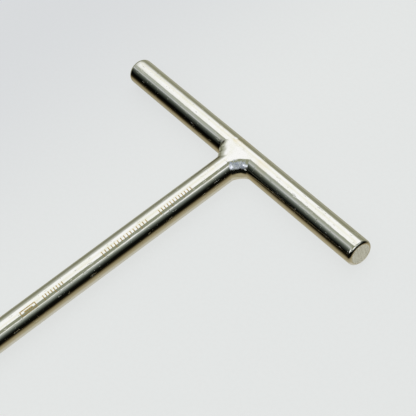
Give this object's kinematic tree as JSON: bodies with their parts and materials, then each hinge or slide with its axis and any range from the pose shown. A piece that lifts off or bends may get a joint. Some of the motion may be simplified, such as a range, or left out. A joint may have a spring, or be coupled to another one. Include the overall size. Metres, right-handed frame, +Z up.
{
  "type": "pricking iron",
  "caption": "T-handled pricking iron: a round crossbar welded to a long round shank, with a flat head that clamps a comb of slanted teeth for marking stitch holes in leather.",
  "frame": {"origin": "under the middle of the tool, on the flat surface that it lies on", "axes": "+Z up from that surface, square to the plane of the T; +X along the crossbar; +Y along the shank towards the crossbar, so the teeth point towards -Y"},
  "size_m": [0.1024, 0.177, 0.008],
  "materials": {
    "polished_steel": "polished round stainless bar with a warm tint and fine lengthwise polishing lines",
    "weld_steel": "weld metal ground and blended smooth, with slight ripples and pits at its toes",
    "satin_steel": "machined stainless, satin polished",
    "hardened_steel": "hardened tool steel with ground faces",
    "blackened_steel": "black oxide"
  },
  "bodies": {
    "root": {"crossbar": "polished_steel", "shank": "polished_steel", "handle_weld": "weld_steel", "head_block": "satin_steel", "head_pin": "hardened_steel", "comb": "hardened_steel", "comb_screw_left": "blackened_steel", "comb_screw_right": "blackened_steel"}
  },
  "joints": []
}
